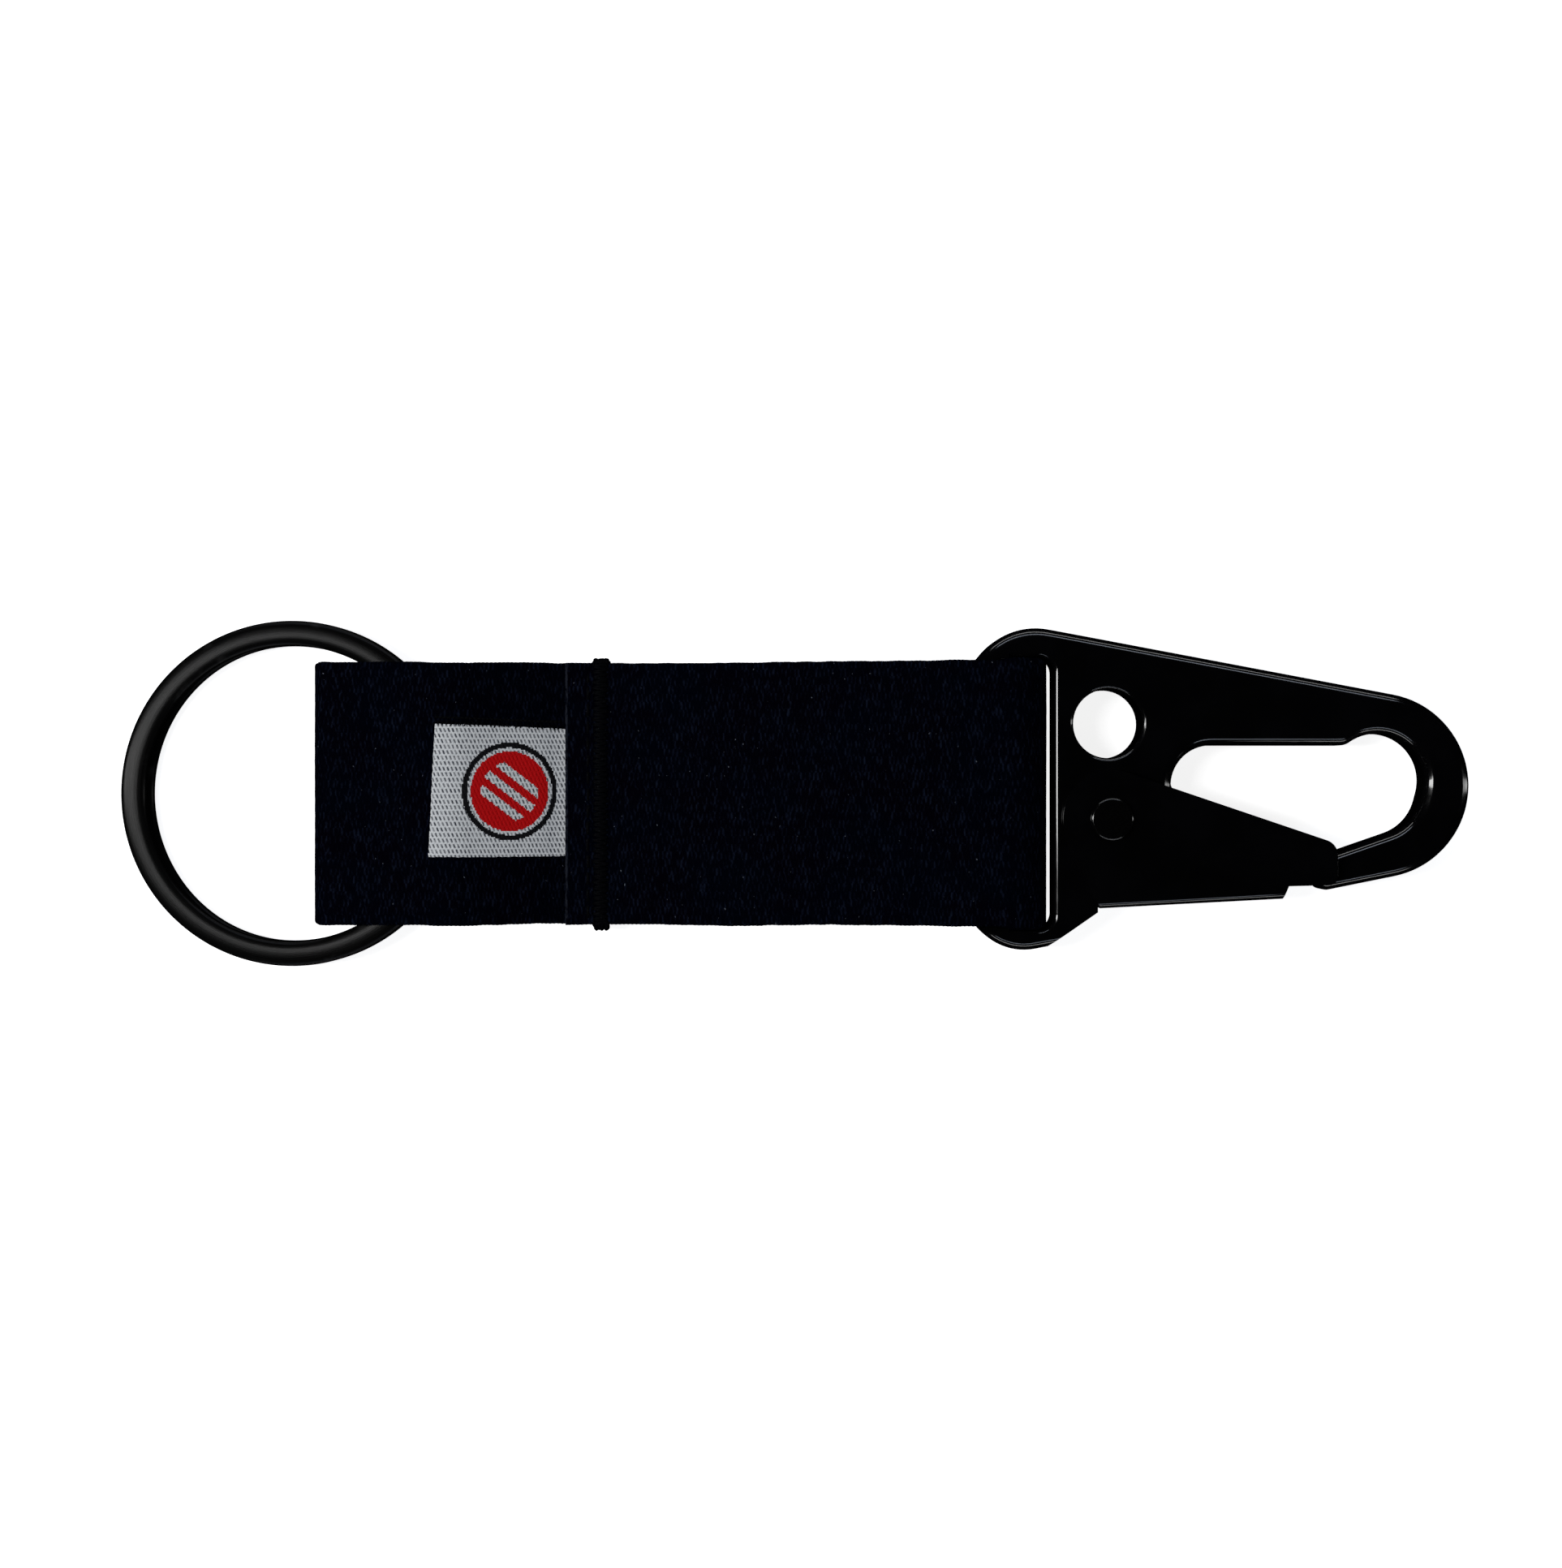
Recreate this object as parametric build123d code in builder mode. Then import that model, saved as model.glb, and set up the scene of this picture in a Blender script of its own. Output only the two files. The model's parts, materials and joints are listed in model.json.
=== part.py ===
"""Key fob: a split ring and a steel snap hook, joined by one folded and sewn strip of webbing.

Millimetres, +Z up. The fob lies on its back on z = 0 with its length along X: the split ring is
at -X, the snap hook at +X, and the strap's front and the woven label face up.
"""

from build123d import *
from math import atan2, cos, degrees, radians, sin, sqrt
import os

os.makedirs("parts", exist_ok=True)

# ---------------------------------------------------------------- driving dimensions
# Webbing
WEB_WIDTH = 25.0
WEB_THICK = 1.2
LOOP_R = 3.5  # middle of the webbing round the hook's bar
FRONT_BEND_R = 12.0
RING_LOOP_R = 1.9
CROWN_SLOPE = 5.0  # degrees: rise of the front from the ring's fold to the crown
SKIN = 0.02  # gap that keeps sewn layers apart
RING_FOLD_X = -45.4  # outside of the fold that holds the split ring
HOOK_FOLD_X = 24.0  # outside of the fold that holds the hook's bar
OVERLAP_X = -21.4  # cut end of the front layer
FRONT_BEND_X = -16.0  # where the front layer starts to rise towards the hook
UNDER_END_X = -16.4  # end of the layer below it, just past the seam
SEAM_LAYER_Z = 3.5  # middle of the top layer at the seam
UNDER_LAYER_Z = 1.9  # middle of the layer below it
CROWN = (-32.0, 5.6)  # X and Z of the hump over the split ring
SLOPE_FOOT_X = -22.2  # where the slope down from the hump meets the seam's flat stretch
BEND_R = 6.0  # bends of the hump and its foot

# Seam and label
SEAM_X = (-19.2, -16.9)
SEAM_THREAD = 0.4
SEAM_LOW_Z = 0.2
LABEL_Y = (-6.05, 6.35)
LABEL_LEFT_X = -33.6
LABEL_THICK = 0.3
STITCH = (0.75, 0.3, 0.14)  # length, width and height of one stitch
STITCH_PITCH = 1.05
STITCH_COUNT = 7
STITCH_INSET = 0.4
LABEL_END_GAP = 0.1  # between the label's tucked end and the seam

# Split ring
RING_OUTSIDE_D = 33.0
WIRE_WIDTH = 2.4
WIRE_HEIGHT = 1.18
TURN_PITCH = 1.22  # the turns touch, with no more than a hair's gap
WIRE_ROUND = 0.4
RING_LEFT_X = -64.04
RING_TILT = 3.6  # degrees: its far side lies on the floor, its near side on the strap
JOG_ANGLE = 32.0  # degrees over which the wire climbs from the lower turn to the upper
END_GAP_ANGLE = 1.5  # degrees between the climbing wire and each cut end
JOG_SPARE = 0.4  # the climb is drawn this much past its own ends
JOG_AT = -8.0  # direction of the climb, seen from the ring's centre: inside the strap

# Snap hook frame, in its own X measured from the middle of the strap bar
BAR_X = 18.6
FRAME_Z = (1.6, 6.2)
SHEET = 1.2
BAR_WIDTH = 4.0
BAR_ROUND = 1.3
RIM_ROUND = 1.1
BACK_ROUND = 0.4
SLOT_EDGE_ROUND = 0.4
THROAT_EDGE_ROUND = 1.1
EYELET_EDGE_ROUND = 0.45
TOP_LOBE = (4.6, 9.05, 6.6)  # X, Y, radius of the frame's corners and nose
BOTTOM_LOBE = (3.5, -9.3, 5.5)
NOSE = (36.8, 0.76, 8.77)
SLOT_X = (2.0, 6.3)
SLOT_Y = (-12.95, 12.95)
SLOT_ROUND = 1.5
EYELET = (11.35, 6.6, 3.25)
SEAT = (36.85, 1.2, 4.45)  # round seat inside the nose, where a cord or ring rests
SEAT_FROM_ANGLE = -15.0
THROAT_TOP_Y = 4.55
THROAT_BACK_X = 17.4
THROAT_ROUND = 3.8
ARM_BEND = (40.34, -2.98)
ARM_BEND_R = 4.5
THROAT_BUMP_R = 1.5
ARM_TIP_R = 1.0
ARM_TIP = (31.1, -6.2)
LOBE_EDGE_ANGLE = 34.8  # degrees: slope of the edge from the bottom lobe to the gate's stop
STOP_X = 10.4

# Gate and its rivet
PIVOT = (11.6, -2.4)
BOSS_R = 6.6  # round edge of the frame that the gate's fold passes
GATE_SHEET = 0.9
GATE_GAP = 0.15
GATE_HEAD_R = 4.6
GATE_TIP = (31.3, -5.8, 1.5)
GATE_HEEL = (32.0, -7.8, 0.8)
GATE_FOLD_LEFT = (10.55, -10.8)
GATE_FOLD_RIGHT = (27.7, -9.9)
GATE_FOLD_ROUND = 0.7
RIVET_R = 1.25
RIVET_HEAD_R = 2.0
RIVET_HEAD = 0.4
RIVET_HEAD_ROUND = 0.25
RIVET_FIT = 0.02  # round the shank, in the frame
RIVET_GAP = 0.05  # round the shank and under each head, at the gate
COLLAR_R = 2.4

# Torsion spring, and the window that lets its leg through to the gate
SPRING_WIRE_R = 0.25
SPRING_COIL_R = 3.2
SPRING_TURNS = 3.5
SPRING_BACK_GAP = 0.1  # coil set in from the frame's back edge
SPRING_TURN_GAP = 0.04
GATE_LEG = 7.15
FRAME_LEG = 4.0
WINDOW_ANGLE = -40
WINDOW_WIDTH = 6.6
WINDOW_HEIGHT = 1.2

# ---------------------------------------------------------------- worked-out places
half_web = WEB_WIDTH / 2
half_thick = WEB_THICK / 2
frame_mid_z = (FRAME_Z[0] + FRAME_Z[1]) / 2
frame_depth = FRAME_Z[1] - FRAME_Z[0]
back_cheek_z = FRAME_Z[0] - GATE_GAP - GATE_SHEET
gate_depth = frame_depth + 2 * (GATE_GAP + GATE_SHEET)
pivot_x = BAR_X + PIVOT[0]
pivot_y = PIVOT[1]


# ---------------------------------------------------------------- webbing
# One strip: from its front end over the seam, round the hook's bar, back along the floor,
# round the fold that holds the split ring, over the ring and in under its own front end.
loop_z = LOOP_R + half_thick
loop_centre_x = HOOK_FOLD_X - LOOP_R - WEB_THICK
front_rise = atan2(loop_z + LOOP_R - SEAM_LAYER_Z, loop_centre_x - UNDER_END_X)
crown_slope = radians(CROWN_SLOPE)
hook_turn_x = HOOK_FOLD_X - half_thick
ring_turn_x = RING_FOLD_X + half_thick
front_corner_z = loop_z + LOOP_R / cos(front_rise) + LOOP_R * sin(front_rise)
ring_corner_z = CROWN[1] - (CROWN[0] - ring_turn_x) * sin(crown_slope)

strap_route = [
    (OVERLAP_X, SEAM_LAYER_Z),
    (FRONT_BEND_X, SEAM_LAYER_Z),
    (hook_turn_x, front_corner_z),
    (hook_turn_x, half_thick),
    (ring_turn_x, half_thick),
    (ring_turn_x, ring_corner_z),
    CROWN,
    (SLOPE_FOOT_X, UNDER_LAYER_Z),
    (UNDER_END_X, UNDER_LAYER_Z),
]
bend_spare = 0.1  # keeps a straight hair between two bends
hook_bend = LOOP_R - bend_spare
strap_bends = [FRONT_BEND_R, hook_bend, hook_bend, RING_LOOP_R, RING_LOOP_R, BEND_R, BEND_R]

with BuildPart() as strap:
    with BuildSketch(Plane.XZ):
        with BuildLine():
            FilletPolyline(*strap_route, radius=strap_bends)
        trace(line_width=WEB_THICK)
    extrude(amount=half_web, both=True)
strap.part.label = "strap_webbing"

# ---------------------------------------------------------------- seam across the strap
seam_width = SEAM_X[1] - SEAM_X[0]
strap_top_z = SEAM_LAYER_Z + half_thick
thread_top_z = strap_top_z + SEAM_THREAD
thread_round = 0.19

with BuildPart() as bartack:
    with BuildSketch(Plane.YZ.offset(SEAM_X[0])):
        with Locations((0, (SEAM_LOW_Z + thread_top_z) / 2)):
            RectangleRounded(WEB_WIDTH + 2 * SEAM_THREAD, thread_top_z - SEAM_LOW_Z, thread_round)
        with Locations((0, strap_top_z / 2)):
            Rectangle(WEB_WIDTH + 2 * SKIN, strap_top_z + SKIN, mode=Mode.SUBTRACT)
    extrude(amount=seam_width)
bartack.part.label = "bartack_stitches"

# ---------------------------------------------------------------- woven label
# It follows the strap's slope down from the crown and ends under the overlap, in the seam.
label_lift = half_thick + LABEL_THICK / 2 + SKIN
fall = atan2(CROWN[1] - UNDER_LAYER_Z, SLOPE_FOOT_X - CROWN[0])
half_bend = (fall + crown_slope) / 2
crown_lift = label_lift / cos(half_bend)
label_crown = (
    CROWN[0] + crown_lift * sin(fall - half_bend),
    CROWN[1] + crown_lift * cos(fall - half_bend),
)
label_foot = (SLOPE_FOOT_X + label_lift * sin(fall / 2), UNDER_LAYER_Z + label_lift)
label_route = [
    (LABEL_LEFT_X, label_crown[1] - (label_crown[0] - LABEL_LEFT_X) * sin(crown_slope)),
    label_crown,
    label_foot,
    (SEAM_X[0] - LABEL_END_GAP, label_foot[1]),
]

with BuildPart() as label:
    with BuildSketch(Plane.XZ.offset(-LABEL_Y[1])):
        with BuildLine():
            FilletPolyline(*label_route, radius=(BEND_R + label_lift, BEND_R - label_lift))
        trace(line_width=LABEL_THICK)
    extrude(amount=LABEL_Y[1] - LABEL_Y[0])
label.part.label = "woven_label"

# A row of short stitches holds the label's upper edge.
slope_dir = (cos(fall), 0, -sin(fall))
slope_up = (sin(fall), 0, cos(fall))
stitch_round = 0.12
row_x = (label_crown[0] + label_foot[0]) / 2
row_z = (label_crown[1] + label_foot[1]) / 2
row_plane = Plane(
    origin=(
        row_x + (LABEL_THICK / 2) * sin(fall),
        LABEL_Y[1] - STITCH_INSET,
        row_z + (LABEL_THICK / 2) * cos(fall),
    ),
    x_dir=slope_dir,
    z_dir=slope_up,
)

with BuildPart() as label_stitches:
    with BuildSketch(row_plane.offset(SKIN)):
        with GridLocations(STITCH_PITCH, 1, STITCH_COUNT, 1):
            RectangleRounded(STITCH[0], STITCH[1], stitch_round)
    extrude(amount=STITCH[2])
label_stitches.part.label = "label_stitches"

# ---------------------------------------------------------------- split ring
# Two flat turns of one wire. Over the jog the wire climbs from the lower turn to the upper,
# and the two cut ends stop against it.
ring_r = RING_OUTSIDE_D / 2
wire_mid_r = ring_r - WIRE_WIDTH / 2
ring_height = TURN_PITCH + WIRE_HEIGHT
tilt = radians(RING_TILT)
ring_x = RING_LEFT_X + ring_r * cos(tilt)
ring_z = ring_r * sin(tilt)
ring_plane = Plane(
    origin=(ring_x, 0, ring_z),
    x_dir=(cos(tilt), 0, sin(tilt)),
    z_dir=(-sin(tilt), 0, cos(tilt)),
)
ring_axis = Axis(ring_plane.origin, ring_plane.z_dir)
turn_angle = 360 - JOG_ANGLE - END_GAP_ANGLE
jog_run = wire_mid_r * sin(radians(JOG_ANGLE / 2)) + JOG_SPARE
jog_flat = 0.9  # level stretch at each end of the climb


def outward(angle):
    """The direction in the ring's plane at this angle, in degrees."""
    along = ring_plane.x_dir * cos(radians(angle))
    across = ring_plane.y_dir * sin(radians(angle))
    return along + across


def wire_section(angle):
    """The plane that cuts the wire square at this angle: X outward, Y up the ring's axis."""
    direction = outward(angle)
    return Plane(
        origin=ring_plane.origin, x_dir=direction, z_dir=direction.cross(ring_plane.z_dir)
    )


with BuildPart() as jog:
    with BuildSketch(wire_section(JOG_AT - JOG_ANGLE / 2)):
        with Locations((wire_mid_r, ring_height / 2)):
            RectangleRounded(WIRE_WIDTH, ring_height, WIRE_ROUND)
    revolve(axis=ring_axis, revolution_arc=JOG_ANGLE)
    side_view = Plane(
        origin=ring_plane.origin, x_dir=outward(JOG_AT + 90), z_dir=outward(JOG_AT)
    )
    with BuildSketch(side_view):
        with BuildLine():
            Polyline(
                (-jog_run, 0),
                (-jog_run + jog_flat, 0),
                (jog_run - jog_flat, TURN_PITCH),
                (jog_run, TURN_PITCH),
                (jog_run, ring_height),
                (jog_run - jog_flat, ring_height),
                (-jog_run + jog_flat, WIRE_HEIGHT),
                (-jog_run, WIRE_HEIGHT),
                close=True,
            )
        make_face()
    extrude(amount=RING_OUTSIDE_D, mode=Mode.INTERSECT)

with BuildPart() as ring:
    add(jog.part)
    for level, start in ((0, JOG_ANGLE / 2 + END_GAP_ANGLE), (1, JOG_ANGLE / 2)):
        with BuildSketch(wire_section(JOG_AT + start)):
            with Locations((wire_mid_r, level * TURN_PITCH + WIRE_HEIGHT / 2)):
                RectangleRounded(WIRE_WIDTH, WIRE_HEIGHT, WIRE_ROUND)
        revolve(axis=ring_axis, revolution_arc=turn_angle)
ring.part.label = "split_ring"

# ---------------------------------------------------------------- snap hook frame
# A pressed shell, open at the back: its top sheet and the flanges round every edge are one
# sheet thick, and the strap bar is closed and rounded all round.
lobe_x, lobe_y, lobe_r = BOTTOM_LOBE
lobe_side = radians(LOBE_EDGE_ANGLE)
edge_x = lobe_x + lobe_r * sin(lobe_side)
edge_y = lobe_y - lobe_r * cos(lobe_side)
stop_low_y = edge_y + (STOP_X - edge_x) * sin(lobe_side) / cos(lobe_side)
far_below = -20.0
edge_out = 2.0  # the cut runs this far past the frame's edge
edge_out_y = edge_y - edge_out
edge_out_x = edge_x - edge_out * cos(lobe_side) / sin(lobe_side)
boss_back = degrees(atan2(THROAT_TOP_Y - THROAT_ROUND - PIVOT[1], THROAT_BACK_X - PIVOT[0]))
boss_low = -degrees(atan2(sqrt(BOSS_R**2 - (STOP_X - PIVOT[0]) ** 2), STOP_X - PIVOT[0]))
bump_angle = 180 - degrees(
    atan2(THROAT_TOP_Y - SEAT[1], sqrt(SEAT[2] ** 2 - (THROAT_TOP_Y - SEAT[1]) ** 2))
)
bump = (SEAT[0] + SEAT[2] * cos(radians(bump_angle)), THROAT_TOP_Y)


def draw_throat():
    """Draws the throat, the nose's seat and the gate's bay as one closed outline."""
    seat_arc = CenterArc(SEAT[:2], SEAT[2], SEAT_FROM_ANGLE, bump_angle - SEAT_FROM_ANGLE)
    top = Line(seat_arc @ 1, (THROAT_BACK_X + THROAT_ROUND, THROAT_TOP_Y))
    back = CenterArc(
        (THROAT_BACK_X + THROAT_ROUND, THROAT_TOP_Y - THROAT_ROUND), THROAT_ROUND, 90, 90
    )
    boss = CenterArc(PIVOT, BOSS_R, boss_back, boss_low - boss_back)
    Line(back @ 1, boss @ 0)
    Polyline(
        boss @ 1,
        (STOP_X, stop_low_y),
        (edge_out_x, edge_out_y),
        (edge_out_x, far_below),
        (ARM_TIP[0], far_below),
        ARM_TIP,
    )
    FilletPolyline(ARM_TIP, ARM_BEND, seat_arc @ 0, radius=ARM_BEND_R)


hook_plan = Plane((BAR_X, 0, FRAME_Z[0]))
past_hook = 60.0  # longer and wider than the whole hook, for cuts that run off it
bar_cut = 0.2  # the flat stretch is cut this far short of the slot's ends
bar_low, bar_high = SLOT_Y[0] + bar_cut, SLOT_Y[1] - bar_cut
bar_y = (bar_low + bar_high) / 2
bar_length = bar_high - bar_low
bar_root = 0.3  # and the rod runs this far into each lobe


def lobe_hull(inset):
    """The outer edge of the hook, drawn tight round its three lobes, set in by this much."""
    with BuildSketch(mode=Mode.PRIVATE) as lobes:
        for x, y, r in (TOP_LOBE, BOTTOM_LOBE, NOSE):
            with Locations((x, y)):
                Circle(r - inset)
    make_hull(lobes.sketch.edges())


def draw_slot():
    """Draws the strap slot: round corners away from the bar, square ones beside it."""
    wide = SLOT_X[1] - SLOT_X[0]
    tall = SLOT_Y[1] - SLOT_Y[0]
    with Locations(((SLOT_X[0] + SLOT_X[1]) / 2, (SLOT_Y[0] + SLOT_Y[1]) / 2)):
        RectangleRounded(wide, tall, SLOT_ROUND)
        Rectangle(wide / 2, tall, align=(Align.MAX, Align.CENTER))


with BuildSketch() as throat:
    with BuildLine():
        draw_throat()
    make_face()
    fillet(throat.vertices().sort_by_distance(bump)[0], THROAT_BUMP_R)

with BuildPart() as bar:
    with BuildSketch(Plane.XZ.offset(-bar_high - bar_root)):
        with Locations((BAR_X, frame_mid_z)):
            RectangleRounded(BAR_WIDTH, frame_depth, BAR_ROUND)
    extrude(amount=bar_length + 2 * bar_root)
    with BuildSketch(hook_plan):
        lobe_hull(0)
    extrude(amount=frame_depth, mode=Mode.INTERSECT)

# Where the middles of the front face's inner edges lie, as X from, X to, Y from, Y to.
EYELET_ZONE = (EYELET[0] - EYELET[2], EYELET[0] + EYELET[2], 0, EYELET[1] + EYELET[2])
zone_spare = 0.1
past_bar = 1.0  # leaves out the wall that the bar replaces
SLOT_ZONE = (
    SLOT_X[0] + past_bar,
    SLOT_X[1] + zone_spare,
    SLOT_Y[0] - zone_spare,
    SLOT_Y[1] + zone_spare,
)
THROAT_ZONE = (THROAT_BACK_X, SEAT[0] + SEAT[2], ARM_TIP[1], SEAT[1] + SEAT[2])


def front_edges(x_from, x_to, y_from, y_to):
    """The edges of the frame's front face whose middles lie between these, in the hook's X."""
    return [
        edge
        for edge in frame.faces().sort_by(Axis.Z)[-1].edges()
        if x_from < edge.center().X - BAR_X < x_to and y_from < edge.center().Y < y_to
    ]


with BuildPart() as frame:
    with BuildSketch(hook_plan):
        lobe_hull(0)
    extrude(amount=frame_depth)
    fillet(frame.faces().sort_by(Axis.Z)[-1].edges(), RIM_ROUND)
    fillet(frame.faces().sort_by(Axis.Z)[0].edges(), BACK_ROUND)
    with BuildSketch(hook_plan):
        add(throat.sketch)
        draw_slot()
        with Locations(EYELET[:2]):
            Circle(EYELET[2])
    extrude(amount=frame_depth, mode=Mode.SUBTRACT)
    upright_edges = frame.edges().filter_by(Axis.Z)
    arm_corner = (BAR_X + ARM_TIP[0], BOTTOM_LOBE[1], frame_mid_z)
    fillet(upright_edges.sort_by_distance(arm_corner)[0], ARM_TIP_R)
    fillet(front_edges(*EYELET_ZONE), EYELET_EDGE_ROUND)
    fillet(front_edges(*SLOT_ZONE), SLOT_EDGE_ROUND)
    fillet(front_edges(*THROAT_ZONE), THROAT_EDGE_ROUND)

    # The strap bar: the flat stretch beside the slot gives way to a rod with rounded corners.
    with BuildSketch(hook_plan):
        with Locations((0, bar_y)):
            Rectangle(BAR_WIDTH + bar_cut, bar_length)
    extrude(amount=frame_depth, mode=Mode.SUBTRACT)
    add(bar.part)

    # The hollow back, with a flange round every edge and a collar for eyelet and rivet.
    with BuildSketch(hook_plan):
        lobe_hull(SHEET)
        with BuildSketch(mode=Mode.PRIVATE) as throat_rim:
            add(throat.sketch)
            offset(amount=SHEET, kind=Kind.ARC)
        add(throat_rim.sketch, mode=Mode.SUBTRACT)
        with Locations((SLOT_X[1] + SHEET, 0)):
            Rectangle(
                past_hook, past_hook, align=(Align.MAX, Align.CENTER), mode=Mode.SUBTRACT
            )
        with Locations(EYELET[:2]):
            Circle(EYELET[2] + SHEET, mode=Mode.SUBTRACT)
        with Locations(PIVOT):
            Circle(COLLAR_R, mode=Mode.SUBTRACT)
    extrude(amount=frame_depth - SHEET, mode=Mode.SUBTRACT)

    # A window in the boss's flange lets the spring's leg reach the gate.
    with BuildSketch(hook_plan):
        with Locations(PIVOT):
            with PolarLocations(BOSS_R - SHEET / 2, 1, start_angle=WINDOW_ANGLE):
                Rectangle(2 * SHEET, WINDOW_WIDTH)
    extrude(amount=WINDOW_HEIGHT, mode=Mode.SUBTRACT)
    with BuildSketch(hook_plan):
        with Locations(PIVOT):
            Circle(RIVET_R + RIVET_FIT)
    extrude(amount=frame_depth, mode=Mode.SUBTRACT)
frame.part.label = "hook_frame"

# ---------------------------------------------------------------- gate
# A strip folded to a channel: two cheeks outside the frame, joined by a fold along their
# lower edge. The fold's left end stands against the frame's stop when the gate is shut.
gate_plan = Plane((BAR_X, 0, back_cheek_z))
fold_slope = atan2(
    GATE_FOLD_RIGHT[1] - GATE_FOLD_LEFT[1], GATE_FOLD_RIGHT[0] - GATE_FOLD_LEFT[0]
)
fold_length = (GATE_FOLD_RIGHT[0] - GATE_FOLD_LEFT[0]) / cos(fold_slope)
fold_near = 0.01
heel_low = GATE_HEEL[1] - GATE_HEEL[2]
heel_step = 0.5  # run of the step up from the fold's end to the heel
heel_rise = 0.1
trim_right = GATE_HEEL[0] + 3.0
trim_low = heel_low - 4.0

with BuildPart() as gate:
    with BuildSketch(gate_plan):
        with BuildSketch(mode=Mode.PRIVATE) as corners:
            with Locations(PIVOT):
                Circle(GATE_HEAD_R)
            for x, y, r in (GATE_TIP, GATE_HEEL):
                with Locations((x, y)):
                    Circle(r)
            with BuildLine():
                Polyline(GATE_FOLD_LEFT, GATE_FOLD_RIGHT, PIVOT, close=True)
            make_face()
        make_hull(corners.sketch.edges())
        with BuildLine():
            Polyline(
                GATE_FOLD_RIGHT,
                (GATE_FOLD_RIGHT[0] + heel_step, heel_low - heel_rise),
                (GATE_HEEL[0], heel_low),
                (trim_right, heel_low),
                (trim_right, trim_low),
                (GATE_FOLD_RIGHT[0], trim_low),
                close=True,
            )
        make_face(mode=Mode.SUBTRACT)
    extrude(amount=gate_depth)
    fold_edges = gate.edges().filter_by(lambda edge: abs(edge.length - fold_length) < fold_near)
    fillet(fold_edges, GATE_FOLD_ROUND)
    inside = gate_plan.offset(GATE_SHEET)
    with BuildSketch(inside):
        with Locations(Location(GATE_FOLD_LEFT, degrees(fold_slope))):
            with Locations((0, GATE_SHEET)):
                Rectangle(2 * past_hook, past_hook, align=(Align.CENTER, Align.MIN))
        with Locations(GATE_FOLD_LEFT):
            Rectangle(past_hook, 2 * past_hook, align=(Align.MAX, Align.CENTER))
    extrude(amount=gate_depth - 2 * GATE_SHEET, mode=Mode.SUBTRACT)
    with BuildSketch(gate_plan):
        with Locations(PIVOT):
            Circle(RIVET_R + RIVET_GAP)
    extrude(amount=gate_depth, mode=Mode.SUBTRACT)
gate.part.label = "gate"

# ---------------------------------------------------------------- rivet
with BuildPart() as rivet:
    with BuildSketch(gate_plan.offset(-RIVET_GAP)):
        with Locations(PIVOT):
            Circle(RIVET_R)
    extrude(amount=gate_depth + 2 * RIVET_GAP)
    for height, reach in ((-RIVET_GAP, -RIVET_HEAD), (gate_depth + RIVET_GAP, RIVET_HEAD)):
        with BuildSketch(gate_plan.offset(height)):
            with Locations(PIVOT):
                Circle(RIVET_HEAD_R)
        extrude(amount=reach)
    fillet(rivet.faces().sort_by(Axis.Z)[-1].edges(), RIVET_HEAD_ROUND)
    fillet(rivet.faces().sort_by(Axis.Z)[0].edges(), RIVET_HEAD_ROUND)
rivet.part.label = "gate_rivet"

# ---------------------------------------------------------------- torsion spring
# Coils round the rivet's collar in the frame's hollow back. One leg presses the gate's fold
# outward, the other leans on the flange beside the slot.
spring_low_z = FRAME_Z[0] + SPRING_WIRE_R + SPRING_BACK_GAP
spring_pitch = 2 * SPRING_WIRE_R + SPRING_TURN_GAP

with BuildPart() as spring:
    with BuildLine(Plane((pivot_x, pivot_y, spring_low_z))):
        coil = Helix(spring_pitch, spring_pitch * SPRING_TURNS, SPRING_COIL_R)
    with BuildSketch(Plane(origin=coil @ 0, z_dir=coil % 0)):
        Circle(SPRING_WIRE_R)
    sweep(path=coil, is_frenet=True)
    with BuildSketch(Plane(origin=coil @ 0, z_dir=-(coil % 0))):
        Circle(SPRING_WIRE_R)
    extrude(amount=GATE_LEG)
    with BuildSketch(Plane(origin=coil @ 1, z_dir=coil % 1)):
        Circle(SPRING_WIRE_R)
    extrude(amount=FRAME_LEG)
spring.part.label = "gate_spring"

# ---------------------------------------------------------------- files
pieces = (strap, bartack, label, label_stitches, ring, frame, gate, rivet, spring)
for piece in pieces:
    export_step(piece.part, f"parts/{piece.part.label}.step")
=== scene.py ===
"""Looks of the key fob: webbing, seam, woven label, split ring and snap hook on a pale floor.

Metres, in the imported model's frame: +Z up, the split ring at -X, the snap hook at +X.
"""

import json
import math

import bpy
import numpy as np
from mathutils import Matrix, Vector


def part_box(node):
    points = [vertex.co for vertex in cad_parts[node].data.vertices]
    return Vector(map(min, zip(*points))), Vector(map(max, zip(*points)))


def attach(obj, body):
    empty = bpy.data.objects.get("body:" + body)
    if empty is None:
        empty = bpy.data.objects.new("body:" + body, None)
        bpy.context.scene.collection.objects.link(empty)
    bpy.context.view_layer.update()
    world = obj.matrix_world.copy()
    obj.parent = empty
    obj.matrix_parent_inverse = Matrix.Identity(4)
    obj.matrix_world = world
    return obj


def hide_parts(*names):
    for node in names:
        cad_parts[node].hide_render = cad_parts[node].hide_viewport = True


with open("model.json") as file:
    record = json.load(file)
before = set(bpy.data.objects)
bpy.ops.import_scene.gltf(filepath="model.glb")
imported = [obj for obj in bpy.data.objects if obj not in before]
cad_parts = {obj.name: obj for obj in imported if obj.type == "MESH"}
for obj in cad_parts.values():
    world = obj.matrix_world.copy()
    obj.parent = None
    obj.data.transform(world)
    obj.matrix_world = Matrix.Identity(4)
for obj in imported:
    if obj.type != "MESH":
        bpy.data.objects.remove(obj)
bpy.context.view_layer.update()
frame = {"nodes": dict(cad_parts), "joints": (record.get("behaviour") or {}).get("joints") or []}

MM = 0.001
SEED = 7
nodes = frame["nodes"]
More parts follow.
